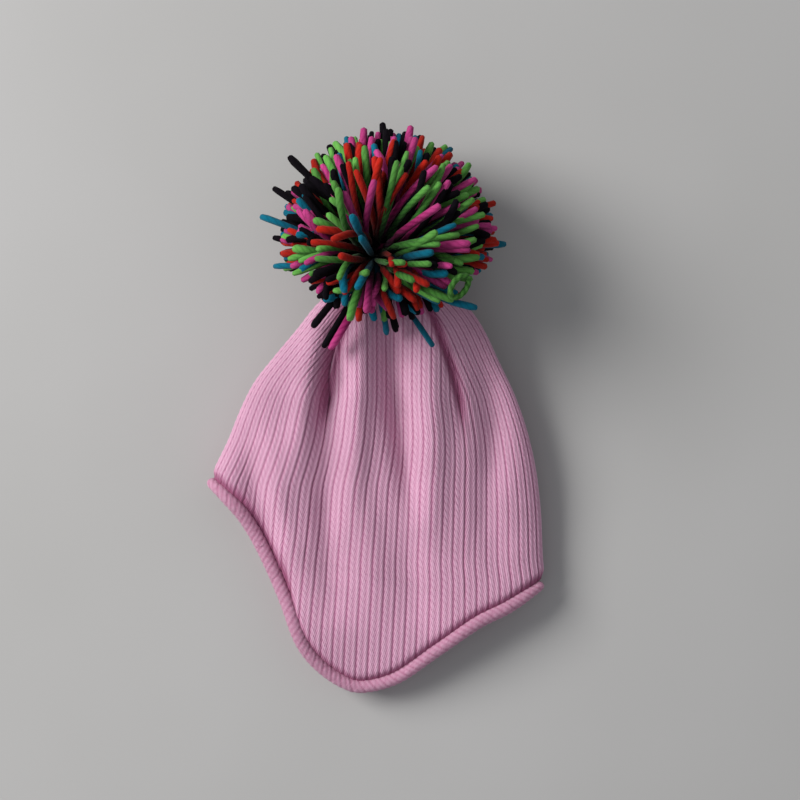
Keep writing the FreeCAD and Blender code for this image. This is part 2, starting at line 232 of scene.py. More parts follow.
# way in from a fold to where the hat has its full thickness, as a share of that thickness
FOREHEAD_REACH = 0.78
BACK_REACH = 2.1
FURROW = 2.8
FURROW_WIDTH = 3.4


def roundness(inward, drop, reach=FOREHEAD_REACH):
    """Share of the half thickness that is reached: a quarter ellipse at the fold, then 1. The back of the
    head is rounded further in than the forehead."""
    k = 1.0 - np.clip(inward / (reach * lay(drop)), 0.0, 1.0)
    return np.sqrt(np.clip(1.0 - k * k, 0.0, 1.0))


def height(x, drop, side):
    """Height of the near (side 1) or far (side -1) outer surface."""
    share = np.minimum(roundness(x - forehead_fold(drop), drop),
                       roundness(back_fold(drop) - x, drop, BACK_REACH))
    z = mid_height(drop) + side * share * (lay(drop) / 2.0 - SKIN)
    if side > 0:
        z = z + share * soft_folds(x, drop)
    return z


def rim_groove(x, drop):
    """Depth of the furrow in which the fabric meets the rolled edge."""
    return FURROW * np.exp(-((above_rim(x, drop) - BAND) / FURROW_WIDTH) ** 2)


# %% [markdown]
# ## How the stitches lie
#
# Knitting is columns of V-shaped stitches, called wales, and rows, called courses. Below the darts the wales
# fan out evenly from fold to fold. Above them the side gore keeps its wales upright, and the front and back
# gores keep theirs along their own fold, so they run slanting into the dart lines and end there. A wale's
# number is the length of fabric from the fold, over the pitch of one wale.

# %% Wales, courses and darts
WALES = 33
COURSE = 4.3
DART_END = 80.0
FRONT_DART_WALE = 11
BACK_DART_WALE = 25
# a wale at the crown is this share as wide as one below the darts
CROWN_SHARE = 0.86
# courses are arcs: they rise by ARC times the square of the distance from ARC_MIDDLE
ARC = 0.0012
ARC_MIDDLE = 26.0


def fabric_length(inward, drop):
    """Length of fabric from a fold to a point that lies inward of it: the way along, and half the way up."""
    return inward + 0.25 * lay(drop) * roundness(inward, drop)


def wale_pitch(drop):
    """Width of a wale: the fabric from fold to fold on one side, over the number of wales. Above the darts it
    stays what it is at their ends."""
    low = np.maximum(drop, DART_END)
    return (back_fold(low) - forehead_fold(low) + 0.5 * lay(low)) / WALES


def gore_pitch(drop):
    """The pitch shrinks a little towards the crown, where the fabric is drawn together."""
    return wale_pitch(drop) * (CROWN_SHARE + (1.0 - CROWN_SHARE) * np.clip(drop / DART_END, 0.0, 1.0))


def wale_number(x, drop):
    """Number of the wale at a place below the darts."""
    return fabric_length(x - forehead_fold(drop), drop) / wale_pitch(drop)


def course_number(x, drop):
    """Courses are shallow arcs, square to the fan of the wales."""
    return (drop + ARC * (x - ARC_MIDDLE) ** 2) / COURSE


def wale_line(number, drop):
    """x of a wale below the darts."""
    return number * wale_pitch(drop) - 0.25 * lay(drop) + forehead_fold(drop)


def front_dart(drop):
    """x of the front dart line; below its end it runs on along a wale."""
    end = float(wale_line(FRONT_DART_WALE, np.array(DART_END)))
    upper = through(drop, [4, 26, 44, 62, DART_END], [-5, -21, -27.5, -32.0, end])
    return np.where(drop < DART_END, upper, wale_line(FRONT_DART_WALE, drop))


def back_dart(drop):
    """x of the back dart line; below its end it runs on along a wale."""
    end = float(wale_line(BACK_DART_WALE, np.array(DART_END)))
    upper = through(drop, [4, 20, 31, 44, 63, DART_END], [5, 20, 27, 32, 38.5, end])
    return np.where(drop < DART_END, upper, wale_line(BACK_DART_WALE, drop))


LEFT_SHARE = 0.57
LEFT_SLANT = -1.15
RIGHT_SLANT = 0.8
RIGHT_SHIFT = 0.35
WOBBLE = 0.10
LEFT_DEPTH = 0.86
RIGHT_DEPTH = 0.26
FLOOR_SHARE = 0.40
MIDDLE_RISE = 0.18
STITCH_RISE = 0.21
PURL_RISE = 0.16


def stitch(wale, course, pitch):
    """Height of the yarn in a stitch, and its share from 0 in the deepest groove to 1 on top.

    Each wale is two columns of legs. The left leg is wide and its strokes slant down to the right; the right
    leg is narrow and nearly smooth. Across a leg the yarn is round, a half circle; along it each stroke is a
    flatter bump, cut from the next by a groove."""
    in_wale = wale - np.floor(wale)
    left = in_wale < LEFT_SHARE
    across = np.where(left, in_wale / LEFT_SHARE, (in_wale - LEFT_SHARE) / (1.0 - LEFT_SHARE))
    slanted = np.where(left, course + LEFT_SLANT * across, course + RIGHT_SLANT * across + RIGHT_SHIFT)
    slanted = slanted + WOBBLE * np.sin(2.1 * np.floor(wale) + 0.7 * np.floor(slanted))
    stroke = np.abs(slanted - np.floor(slanted) - 0.5) * 2.0
    round_leg = np.clip(1.0 - (2.0 * across - 1.0) ** 2, 0.0, 1.0)
    bump = np.sqrt(np.clip(1.0 - stroke ** 1.9 * 0.96, 0.0, 1.0))
    depth = np.where(left, LEFT_DEPTH, RIGHT_DEPTH)
    shape = round_leg * (1.0 - depth + depth * bump)
    floor = FLOOR_SHARE + np.where(left, MIDDLE_RISE * across, MIDDLE_RISE * (1.0 - across))
    shape = floor + (1.0 - floor) * shape
    return STITCH_RISE * pitch * shape, shape


def purl(wale, course, pitch):
    """Inside of the fabric: rows of small round bumps, two to a wale."""
    bump = np.abs(np.sin(math.pi * course)) * (0.6 + 0.4 * np.abs(np.sin(math.pi * (wale * 2.0))))
    return PURL_RISE * pitch * bump, bump


# %% [markdown]
# ## From a grid to a closed piece of fabric
#
# A gore is a grid of two parameters. Its outside carries the stitches and its inside the purl bumps, and four
# narrow strips close the edges, so the piece is one watertight slab with its faces outwards.

# %% Mesh helpers


def placed(points):
    """Millimetres about the crown, with drop downwards, to metres in the frame."""
    p = np.asarray(points, float)
    return np.stack([CROWN[0] + p[..., 0] * MM, CROWN[1] - p[..., 1] * MM, p[..., 2] * MM], axis=-1)


def in_scene(name, data):
    """New object that holds the data, linked to the scene."""
    thing = bpy.data.objects.new(name, data)
    bpy.context.scene.collection.objects.link(thing)
    return thing


def new_piece(name, corners, faces, uv=None, shade=None, tone=None):
    """Mesh object at the origin from arrays of corners and four-cornered faces; a repeated corner is a
    triangle. uv is one pair for each corner, shade and tone one number for each corner."""
    mesh = bpy.data.meshes.new(name)
    faces = np.asarray(faces)
    quads = faces[faces[:, 2] != faces[:, 3]]
    tris = faces[faces[:, 2] == faces[:, 3]][:, :3]
    loops = np.concatenate([quads.ravel(), tris.ravel()])
    sizes = np.concatenate([np.full(len(quads), 4), np.full(len(tris), 3)])
    mesh.vertices.add(len(corners))
    mesh.vertices.foreach_set("co", np.asarray(corners, np.float32).ravel())
    mesh.loops.add(len(loops))
    mesh.loops.foreach_set("vertex_index", loops.astype(np.int32))
    mesh.polygons.add(len(sizes))
    starts = np.concatenate([[0], np.cumsum(sizes)[:-1]])
    mesh.polygons.foreach_set("loop_start", starts.astype(np.int32))
    mesh.polygons.foreach_set("use_smooth", np.ones(len(sizes), bool))
    mesh.update(calc_edges=True)
    if uv is not None:
        layer = mesh.uv_layers.new(name="Stitches")
        layer.data.foreach_set("uv", np.asarray(uv, np.float32)[loops].ravel())
    for label, values in (("shade", shade), ("tone", tone)):
        if values is not None:
            kept = mesh.attributes.new(label, "FLOAT", "POINT")
            kept.data.foreach_set("value", np.asarray(values, np.float32))
    mesh.validate()
    return in_scene(name, mesh)


def grid_faces(rows, columns, first=0, flip=False):
    """Faces of a grid of corners numbered row by row."""
    k = np.arange(rows * columns).reshape(rows, columns) + first
    quad = np.stack([k[:-1, :-1], k[:-1, 1:], k[1:, 1:], k[1:, :-1]], axis=-1).reshape(-1, 4)
    return quad[:, ::-1] if flip else quad


def ring_faces(rows, columns):
    """Faces between closed rings of corners, with each corner's number and the number of the one after."""
    number = np.arange(rows * columns).reshape(rows, columns)
    after = np.roll(number, -1, axis=1)
    sides = np.stack([number[:-1], after[:-1], after[1:], number[1:]], axis=-1).reshape(-1, 4)
    return sides, number, after


def fan(ring, after, apex):
    """Triangles from each corner of a ring and the one after it to a single corner."""
    point = np.full(len(ring), apex)
    return np.stack([ring, after, point, point], axis=-1)


def unit(v):
    """Vectors divided by their length."""
    return v / np.maximum(np.linalg.norm(v, axis=-1, keepdims=True), 1e-9)


def slab(name, base, wale, course, pitch, dip=None):
    """Closed fabric from a grid of middle-surface points in millimetres. Rows run down a wale."""
    down = np.gradient(base, axis=0)
    over = np.gradient(base, axis=1)
    normal = unit(np.cross(over, down))
    if float(np.sum(normal[..., 2] * (base[..., 2] - mid_height(base[..., 1])))) < 0.0:
        normal = -normal
    # the stitch's share from groove to top becomes the shade attribute, a painted shade
    raised, shade = stitch(wale, course, pitch)
    sunk, inside_shade = purl(wale, course, pitch)
    if dip is not None:
        raised = raised - dip
        # painted shade: the stitches are darker in the rim furrow and beside the darts
        shade = shade * np.exp(-dip * 0.5)
    outer = base + normal * raised[..., None]
    inner = base - normal * (WALL - SKIN + sunk)[..., None]
    rows, columns = wale.shape
    count = rows * columns
    corners = placed(np.concatenate([outer.reshape(-1, 3), inner.reshape(-1, 3)]))
    k = np.arange(count).reshape(rows, columns)
    ring = np.concatenate([k[0, :], k[1:, -1], k[-1, -2::-1], k[-2:0:-1, 0]])
    after = np.roll(ring, -1)
    edge = np.stack([after, ring, ring + count, after + count], axis=-1)
    faces = np.concatenate([grid_faces(rows, columns, 0, True), grid_faces(rows, columns, count, False),
                            edge[:, ::-1]])
    uv = np.stack([wale, course], axis=-1).reshape(-1, 2)
    return new_piece(name, corners, faces, np.concatenate([uv, uv]),
                     # the purl inside gets painted shade too: darker between its bumps
                     np.concatenate([shade.ravel(), 0.55 + 0.4 * inside_shade.ravel()]))


def check_outward(piece):
    """Turns the faces round if the mesh encloses a negative volume."""
    mesh = piece.data
    corners = np.zeros(len(mesh.vertices) * 3)
    mesh.vertices.foreach_get("co", corners)
    corners = corners.reshape(-1, 3) - corners.reshape(-1, 3).mean(axis=0)
    mesh.calc_loop_triangles()
    index = np.zeros(len(mesh.loop_triangles) * 3, np.int32)
    mesh.loop_triangles.foreach_get("vertices", index)
    a, b, c = (corners[index.reshape(-1, 3)[:, k]] for k in range(3))
    volume = float(np.einsum("ij,ij->i", a, np.cross(b, c)).sum() / 6.0)
    if volume < 0.0:
        mesh.flip_normals()
    print(piece.name, "triangles", len(index) // 3, "volume cm3", round(abs(volume) * 1e6, 2))
    return piece


# %% [markdown]
# ## The gores
#
# The front gore wraps the forehead fold, from the dart line on the near side to the one on the far side. The
# side gores are plain panels between two dart lines, and the two back gores meet at the back seam. Each
# column of a grid is a part of one wale, so that the stitches keep their width round a fold, and a wale that
# runs into a dart ends there.

# %% Gores
PER_WALE = 8
PER_COURSE = 6
TOP = 9.0
FRONT_LENGTH = 165
SIDE_LENGTH = 190
HALVINGS = 24
DART_LEVELS = 300
RIM_STEPS = 60
RIM_GUESS = 150.0


def inward_of(length, drop):
    """Undoes fabric_length by halving a bracket again and again."""
    low = np.zeros_like(length)
    high = length.copy()
    for _ in range(HALVINGS):
        middle = 0.5 * (low + high)
        over = fabric_length(middle, drop) > length
        high = np.where(over, middle, high)
        low = np.where(over, low, middle)
    return 0.5 * (low + high)


def wale_path(number, drop, gore):
    """x of each numbered wale at a drop: the way in from its gore's fold, or upright above the darts."""
    number = number + 0.0 * drop
    if gore == "front":
        return forehead_fold(drop) + inward_of(number * gore_pitch(drop), drop)
    if gore == "back":
        return back_fold(drop) - inward_of((WALES - number) * gore_pitch(drop), drop)
    return wale_line(number, np.maximum(drop, DART_END))


def ends_in_order(number, first, gore):
    """A wale nearer the dart never ends higher than its neighbour further off."""
    order = np.argsort(number)
    if gore == "back":
        order = order[::-1]
    if gore == "side":
        middle = len(order) // 2
        halves = [order[:middle][::-1], order[middle:]]
    else:
        halves = [order]
    kept = first.copy()
    for half in halves:
        kept[half] = np.maximum.accumulate(first[half])
    return kept


def grid_ends(number, gore):
    """First and last drop of each wale: just below the last level at which the dart cuts it off, and where it
    meets the rim or the ear flap, found by stepping halfway there again and again."""
    level = np.linspace(TOP, DART_END, DART_LEVELS)[:, None]
    x = wale_path(number[None, :], level, gore)
    if gore == "front":
        free = x < front_dart(level) + DART_TUCK
    elif gore == "back":
        free = x > back_dart(level) - DART_TUCK
    else:
        free = (x > front_dart(level) - DART_TUCK) & (x < back_dart(level) + DART_TUCK)
    step = level[1, 0] - level[0, 0]
    first = np.max(np.where(free, TOP, level + step), axis=0)
    first = ends_in_order(number, first, gore)
    last = np.full(len(number), RIM_GUESS)
    for _ in range(RIM_STEPS):
        last = 0.5 * last + 0.5 * body_end(wale_path(number, last, gore))
    return first, last


def furrow(x, line, depth, width):
    """Bell-shaped dip along a dart line: depth times e to the minus (distance over width) squared."""
    return depth * np.exp(-((x - line) / width) ** 2)


def gore_grid(number, gore, side, rows):
    """Grid of fabric whose columns are wales. The dips beside a dart fade out below its end, along an
    S-shaped curve."""
    first, last = grid_ends(number, gore)
    drop = first + (last - first) * np.linspace(0.0, 1.0, rows)[:, None]
    x = wale_path(number[None, :], drop, gore)
    fade = 1.0 / (1.0 + np.exp((drop - DART_END - 8.0) / 5.0))
    dip = rim_groove(x, drop)
    if gore == "front":
        dip = dip + furrow(x, front_dart(drop), fade * 2.6, 7.0)
    elif gore == "back":
        dip = dip + furrow(x, back_dart(drop), fade * 3.0, 2.8)
    else:
        dip = dip + fade * (furrow(x, front_dart(drop), 1.2, 2.0) + furrow(x, back_dart(drop), 2.6, 2.4))
    return (np.stack([x, drop, height(x, drop, side)], axis=-1), number[None, :] + 0.0 * drop,
            course_number(x, drop), gore_pitch(drop) + 0.0 * x, dip)


def wales_between(low, high):
    """Numbers from one wale to another, with PER_WALE columns to each."""
    return np.linspace(low, high, int(round((high - low) * PER_WALE)) + 1)


def joined(near, far):
    """One grid over a fold: the near half, then the far half the other way, sharing the fold's column."""
    return [np.concatenate([a, b[:, -2::-1]], axis=1) for a, b in zip(near, far)]


fabric_pieces = {}
FRONT_ROWS = int(FRONT_LENGTH / COURSE) * PER_COURSE
SIDE_ROWS = int(SIDE_LENGTH / COURSE) * PER_COURSE
front_wales = wales_between(0, FRONT_DART_WALE)[::-1]
front = joined(gore_grid(front_wales, "front", 1, FRONT_ROWS),
               gore_grid(front_wales, "front", -1, FRONT_ROWS))
fabric_pieces["front_gore_knit"] = check_outward(slab("front_gore_knit", *front))
for side, word in ((1, "near"), (-1, "far")):
    name = word + "_side_gore_knit"
    side_wales = wales_between(FRONT_DART_WALE, BACK_DART_WALE)
    fabric_pieces[name] = check_outward(slab(name, *gore_grid(side_wales, "side", side, SIDE_ROWS)))
    name = word + "_back_gore_knit"
    back_wales = wales_between(BACK_DART_WALE, WALES)
    fabric_pieces[name] = check_outward(slab(name, *gore_grid(back_wales, "back", side, SIDE_ROWS)))

# %% [markdown]
# ## The crown tip
#
# The last round of stitches is drawn together into a small closed cap, which the pom pom hides. Its rings
# follow the cross-section of the hat and shrink to a point.

# %% Crown tip
CAP_COLUMNS = 120
CAP_RINGS = 12
CLOSING_RINGS = 6
CAP_WALES = 24.0
CAP_PITCH = 3.2
CAP_WALL = 2.4
CAP_SET_IN = 1.6


def cross_section(drop, count):
    """Ring round the flattened hat at one drop, near side first."""
    drop = np.full(count, float(drop))
    half = count // 2
    turn = np.linspace(0.0, math.pi, half, endpoint=False)
    share = 0.5 - 0.5 * np.cos(turn)
    left = forehead_fold(drop[:half])
    right = back_fold(drop[:half])
    x = np.concatenate([left + (right - left) * share, right - (right - left) * share])
    near = height(x[:half], drop[:half], 1)
    far = height(x[half:], drop[half:], -1)
    return np.stack([x, drop, np.concatenate([near, far])], axis=-1)


def crown_cap():
    """Closed cap: rings of the hat's own cross-section, then rings that shrink to the last one's centre, with
    stitches outside and a plain wall inside."""
    rings = [cross_section(d, CAP_COLUMNS) for d in np.linspace(TOP + 1.0, TIP_DROP + 0.6, CAP_RINGS)]
    last = rings[-1]
    centre = last.mean(axis=0)
    for share in np.linspace(0.8, 0.0, CLOSING_RINGS)[:-1]:
        rings.append(centre + (last - centre) * share + np.array([0.0, -0.5 * (1.0 - share), 0.0]))
    base = np.stack(rings)
    base = np.concatenate([base, base[:, :1]], axis=1)
    wale = np.linspace(0.0, CAP_WALES, CAP_COLUMNS + 1)[None, :] + np.zeros(base.shape[:2])
    course = base[..., 1] / COURSE + np.arange(len(rings))[:, None] * 0.12
    raised, shade = stitch(wale, course, CAP_PITCH + np.zeros(wale.shape))
    away = unit(base - base.mean(axis=1, keepdims=True))
    outer = (base + away * (raised * 0.7)[..., None])[:, :-1]
    inner = (base - away * CAP_WALL)[:, :-1]
    inner[1:, :, 1] += CAP_SET_IN
    rows, columns = outer.shape[:2]
    skin, number, after = ring_faces(rows, columns)
    count = rows * columns
    tip = outer[-1].mean(axis=0)
    low_tip = inner[-1].mean(axis=0)
    lid = fan(number[-1], after[-1], 2 * count)
    low_lid = fan(after[-1] + count, number[-1] + count, 2 * count + 1)
    mouth = np.stack([after[0], number[0], number[0] + count, after[0] + count], axis=-1)
    faces = np.concatenate([skin, skin[:, ::-1] + count, lid, low_lid, mouth])
    corners = placed(np.concatenate([outer.reshape(-1, 3), inner.reshape(-1, 3), [tip], [low_tip]]))
    uv = np.stack([wale[:, :-1], course[:, :-1]], axis=-1).reshape(-1, 2)
    shade = shade[:, :-1].ravel()
    return new_piece("crown_tip_knit", corners, faces, np.concatenate([uv, uv, [[0, 0]], [[0, 0]]]),
                     np.concatenate([shade, shade, [0.6, 0.6]]))


fabric_pieces["crown_tip_knit"] = check_outward(crown_cap())

# %% [markdown]
# ## The ear flaps
#
# The stitches of an ear flap are those of the hat, carried on below the line of its fold. Each column of its
# grid follows a wale from that line down to the rolled edge.

# %% Ear flaps
FLAP_LENGTH = 72
FRONT_MARGIN = 7.0
BACK_MARGIN = 6.0
TOP_GUESS = 190.0
BOTTOM_GUESS = 230.0
FLAP_STEPS = 50


def flap_grid(side):
    """Grid of an ear flap: whole wales between the ends of its fold line, each from that line to the rolled
    edge. Both ends are found by stepping part of the way there again and again."""
    low = int(np.ceil(wale_number(FOLD_A[0] + FRONT_MARGIN, FOLD_A[1])))
    high = int(np.floor(wale_number(FOLD_B[0] - BACK_MARGIN, FOLD_B[1])))
    number = wales_between(low, high)
    top = np.full(len(number), TOP_GUESS)
    bottom = np.full(len(number), BOTTOM_GUESS)
    for _ in range(FLAP_STEPS):
        top = 0.5 * top + 0.5 * (fold_line(wale_line(number, top)) - FOLD_OVERLAP - TUCK)
        x_low = wale_line(number, bottom)
        bottom = 0.6 * bottom + 0.4 * np.interp(x_low, fabric_end[:, 0], fabric_end[:, 1])
    bottom = np.maximum(bottom, top + 0.5)
    rows = int(FLAP_LENGTH / COURSE) * PER_COURSE
    drop = top + (bottom - top) * np.linspace(0.0, 1.0, rows)[:, None]
    x = wale_line(number, drop)
    return (np.stack([x, drop, height(x, drop, side)], axis=-1), number + 0.0 * x, course_number(x, drop),
            wale_pitch(drop) + 0.0 * x, rim_groove(x, drop))


for side, word in ((1, "near"), (-1, "far")):
    name = word + "_ear_flap_knit"
    fabric_pieces[name] = check_outward(slab(name, *flap_grid(side)))

# %% [markdown]
# ## The rolled edge
#
# The edging rolls up along the rim. It is a thick tube with the same stitches, which run round it instead of
# along it: a circle of points carried along the rim, pushed out by the height of the stitch.

# %% Rolled edge
ROLL = 3.9
ROLL_SINK = 1.4
# the stitches run slanting round the roll, and this many wales further on in one turn
SLANT = 2.0
COURSE_DRIFT = 0.9
YARN_RISE = 0.62


def rim_path(side, first, last, count):
    """Middle of the roll, from one place on the rim line to another, on the near side or the far side."""
    line = inset(rim_line, ROLL)[first:last + 1]
    x, drop = line[:, 0], line[:, 1]
    z = height(x, drop, side) - side * (ROLL - ROLL_SINK)
    return resample(np.stack([x, drop, z], axis=-1), count)


def tube(name, path, radius, wale_step, facing, around=18, knitted=True, thin=1.0):
    """Tube along a path: a circle of points round each of the path's own, pushed out by the height of the
    stitch, or by the plies of a twisted yarn. facing is the direction that the tube's first line of points
    leans to, and thin the share of its radius that is left halfway along."""
    along = unit(np.gradient(path, axis=0))
    lean = facing - along * np.sum(facing * along, axis=1, keepdims=True)
    up = unit(lean)
    beside = np.cross(along, up)
    turn = np.linspace(0.0, 2.0 * math.pi, around, endpoint=False)
    length = np.concatenate([[0.0], np.cumsum(np.linalg.norm(np.diff(path, axis=0), axis=1))])
    signed = np.where(turn > math.pi, turn - 2.0 * math.pi, turn)
    wale = length[:, None] / wale_step + SLANT * signed[None, :] / (2.0 * math.pi)
    course = (signed[None, :] * radius) / COURSE + COURSE_DRIFT * wale
    if knitted:
        raised, shade = stitch(wale, course, np.full(wale.shape, wale_step))
        half_way = (length[:, None] - 0.5 * length[-1]) / 14.0
        reach = (radius - 0.5 + YARN_RISE * raised) * (1.0 - (1.0 - thin) * np.exp(-half_way ** 2))
        # painted shade: darker in the grooves of the stitches round the roll
        shade = 0.20 + 0.80 * shade
    else:
        twist = 0.5 + 0.5 * np.cos(2.0 * (turn[None, :] - 2.0 * math.pi * length[:, None] / wale_step))
        reach = radius * (0.92 + 0.12 * twist)
        # painted shade: darker between the plies of the twisted yarn
        shade = 0.55 + 0.45 * twist
    spoke = np.cos(turn)[None, :, None] * up[:, None] + np.sin(turn)[None, :, None] * beside[:, None]
    skin = path[:, None] + spoke * reach[..., None]
    sides, number, after = ring_faces(*wale.shape)
    start = fan(after[0], number[0], wale.size)
    end = fan(number[-1], after[-1], wale.size + 1)
    corners = placed(np.concatenate([skin.reshape(-1, 3), path[:1], path[-1:]]))
    uv = np.concatenate([np.stack([wale, course], axis=-1).reshape(-1, 2), [[0, 0]], [[0, 0]]])
    shade = np.concatenate([shade.ravel(), [0.5, 0.5]])
    return check_outward(new_piece(name, corners, np.concatenate([sides, start, end]), uv, shade))


def rim_index(x):
    """Number of the rim line's point nearest to an x."""
    return int(np.argmin(np.abs(rim_line[:, 0] - x)))


def outward(path, side):
    """Straight up for the near side, straight down for the far side, once for each point of a path."""
    return np.tile([0.0, 0.0, float(side)], (len(path), 1))


# the roll turns round a fold where its middle comes within this distance of the fold
TURN_IN = 0.9 * ROLL
FAR_OFF = 1000.0
roll_x = inset(rim_line, ROLL)[:, 0]
from_front = np.abs(roll_x - forehead_fold(rim_line[:, 1]) - TURN_IN)
from_back = np.abs(roll_x - back_fold(rim_line[:, 1]) + TURN_IN)
corner_front = int(np.argmin(from_front + FAR_OFF * (rim_line[:, 1] > 160)))
corner_back = int(np.argmin(from_back + FAR_OFF * (rim_line[:, 0] < 60)))
split_front = rim_index(FOLD_A[0] - 1.2)
split_back = rim_index(FOLD_B[0] + 1.5)
HALF_POINTS = 200
WHOLE_POINTS = 420
ROLL_POINTS = 320
SMOOTHINGS = 30


def around_corner(corner, split):
    """The rim's path on the near side to the fold, round it, and back along the far side. Each smoothing
    moves a point halfway to the mean of its two neighbours, which rounds the turn."""
    low, high = sorted((corner, split))
    near = rim_path(1, low, high, HALF_POINTS)
    far = rim_path(-1, low, high, HALF_POINTS)
    if corner < split:
        near = near[::-1]
        far = far[::-1]
    smooth = resample(np.vstack([near, far[::-1]]), WHOLE_POINTS)
    for _ in range(SMOOTHINGS):
        smooth[1:-1] = 0.25 * smooth[:-2] + 0.5 * smooth[1:-1] + 0.25 * smooth[2:]
    return resample(smooth, ROLL_POINTS)


def corner_facing(path, x_in):
    """Away from the middle of the hat's thickness, and away from the hat at the fold."""
    rise = path[:, 2] - mid_height(path[:, 1])
    out = np.zeros_like(path)
    out[:, 2] = rise / np.abs(rise).max()
    out[:, 0] = (1.0 - np.abs(out[:, 2])) * (-1.0 if x_in > 0 else 1.0) * 1.2
    return out


WALE_STEP = 7.1
CORNER_THIN = 0.72
FLAP_ROLL_POINTS = 620
edge_pieces = {}
front_path = around_corner(corner_front, split_front)
back_path = around_corner(corner_back, split_back)
edge_pieces["forehead_rim_roll"] = tube("forehead_rim_roll", front_path, ROLL, WALE_STEP,
                                        corner_facing(front_path, 1.0), thin=CORNER_THIN)
edge_pieces["back_rim_roll"] = tube("back_rim_roll", back_path, ROLL, WALE_STEP,
                                    corner_facing(back_path, -1.0), thin=CORNER_THIN)
for side, word in ((1, "near"), (-1, "far")):
    path = rim_path(side, split_front, split_back, FLAP_ROLL_POINTS)
    name = word + "_flap_rim_roll"
    edge_pieces[name] = tube(name, path, ROLL, WALE_STEP, outward(path, side))

# %% [markdown]
# ## The seams
#
# The darts and the back are sewn with the same wool. Each seam is a thin twisted cord, sunk between the
# stitches that it holds.

# %% Seams
SEAM = 1.1
SEAM_TWIST = 4.0
SEAM_POINTS = 90
BACK_SEAM = 1.5
BACK_SEAM_TWIST = 4.5
BACK_SEAM_POINTS = 200
BACK_SEAM_END = 186.0
SEAM_SIDES = 8
seam_pieces = {}
for side, word in ((1, "near"), (-1, "far")):
    for dart, which in ((front_dart, "front"), (back_dart, "back")):
        drop = np.linspace(TOP + 3.0, DART_END - 2.0, SEAM_POINTS)
        sunk = 2.9 + 2.1 * np.clip((drop - 56.0) / 16.0, 0.0, 1.0)
        path = np.stack([dart(drop), drop, height(dart(drop), drop, side) - side * sunk], axis=-1)
        name = word + "_" + which + "_dart_yarn"
        seam_pieces[name] = tube(name, resample(path, SEAM_POINTS), SEAM, SEAM_TWIST, outward(path, side),
                                 around=SEAM_SIDES, knitted=False)
drop = np.linspace(TOP + 3.0, BACK_SEAM_END, BACK_SEAM_POINTS)
path = np.stack([back_fold(drop) - 0.9, drop, mid_height(drop)], axis=-1)
towards_back = np.tile([1.0, 0.0, 0.0], (BACK_SEAM_POINTS, 1))
seam_pieces["back_seam_yarn"] = tube("back_seam_yarn", resample(path, BACK_SEAM_POINTS), BACK_SEAM,
                                     BACK_SEAM_TWIST, towards_back, around=SEAM_SIDES, knitted=False)

# %% [markdown]
# ## The pom pom
#
# A pom pom is a bundle of yarn tied round its middle and cut, so every strand starts at the tie and ends at
# the surface of the ball. The ends are spread over a sphere by the golden angle, each with its own length and
# bend, and the near ones part in the middle and fall outwards. A strand is a slim tube that swells a little
# at its cut end.

# %% Strands of the pom pom
POM_RADIUS = 64.0
POM_MIDDLE = np.array([0.0, -15.0, 50.0])
TIE = np.array([-8.0, -4.0, 52.0])
STRAND = 2.2
STRANDS = 1050
COLOURS = ["pink", "black", "red", "green", "teal"]
OUTER_SHARES = [0.22, 0.20, 0.23, 0.20, 0.15]
INNER_SHARES = [0.15, 0.42, 0.16, 0.13, 0.14]
FLOOR_GAP = 0.5


def ball_ends(count):
    """Directions from the middle of the ball: the height falls from the top as a power of the count, the turn
    is the golden angle, and both are jittered. A parting is left open at the top, and the ball is a little
    flattened where it lies against the hat."""
    k = (np.arange(count) + 0.5) / count
    lean = np.arccos(0.92 - 1.88 * k ** 0.66) + rng.normal(0.0, 0.06, count)
    turn = math.pi * (1.0 + math.sqrt(5.0)) * np.arange(count) + rng.normal(0.0, 0.08, count)
    reach = POM_RADIUS * (0.985 + rng.normal(0.0, 0.035, count))
    way = np.stack([np.cos(turn) * np.sin(lean), np.sin(turn) * np.sin(lean), np.cos(lean)], axis=-1)
    way[:, 1] *= np.where(way[:, 1] > 0.0, 0.82, 1.0)
    return POM_MIDDLE + way * reach[:, None], lean


def ball_bends(ends, lean):
    """The bend of a strand: it rises from the tie with its neighbours, then turns outwards, so its bend lies
    a third of the way out and nearly as high as the ball's own surface above it."""
    out = ends - TIE
    bend = TIE + out * np.array([0.34, 0.34, 0.0])
    low = 8.0 + 6.0 * rng.uniform(0.0, 1.0, len(ends))
    rise = POM_RADIUS * (0.50 + 0.36 * np.cos(lean))
    bend[:, 2] = np.where(lean < 1.9, POM_MIDDLE[2] + rise * (1.0 - 0.25 * rng.uniform(0.0, 1.0, len(ends))),
                          np.maximum(ends[:, 2] * 0.6, low))
    return bend + rng.normal(0.0, 1.0, ends.shape) * np.array([7.5, 7.5, 5.0])


# strands that would end inside the hat or under it are held back against the crown, and on the forehead side
# they come further down, so that no floor shows between them and the hat
OVER_HAT = 2.0
CLEAR_OF_KNIT = 3.0
STEEP = 1.3
HELD_AT = -13.0
COME_DOWN = 10.0
ASIDE_FROM = 26.0
ASIDE_WIDTH = 18.0
BEND_LEAN = 1.2
BEND_AT = -9.0

